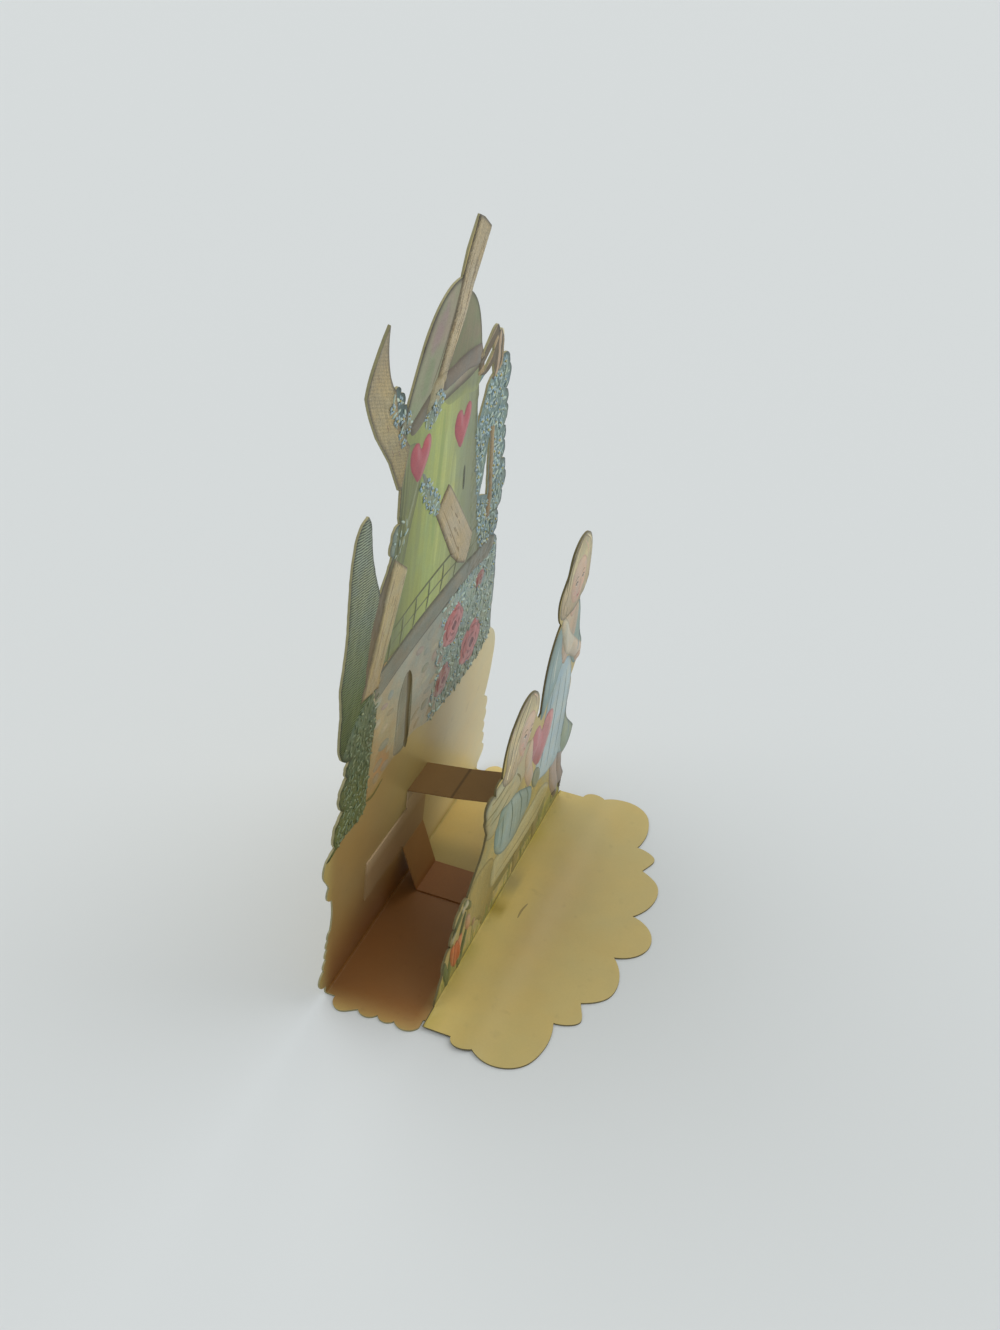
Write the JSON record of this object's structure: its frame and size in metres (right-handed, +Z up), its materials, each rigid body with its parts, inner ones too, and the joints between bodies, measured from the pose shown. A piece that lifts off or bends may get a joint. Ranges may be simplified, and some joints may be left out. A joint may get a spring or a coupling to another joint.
{
  "type": "greeting card",
  "caption": "Stand-up die-cut greeting card: a windmill back panel and a figure panel rise from a scalloped base, held apart by a creased paper brace.",
  "frame": {"origin": "centre of the card's footprint on the surface it stands on, under the glue flap", "axes": "+X along the folds to the viewer's right, -Y to the front (the apron side), +Z up"},
  "size_m": [0.1071, 0.074, 0.1904],
  "materials": {
    "printed_card": "buff card, colour printed and pressed, satin on the print and matt elsewhere",
    "figure_card": "buff card, colour printed and pressed on the panel, plain and matt on the apron",
    "brace_paper": "plain brown-grey matt paper"
  },
  "bodies": {
    "root": {"back_sheet": "printed_card", "figure_sheet": "figure_card", "brace_strip": "brace_paper"}
  },
  "joints": []
}
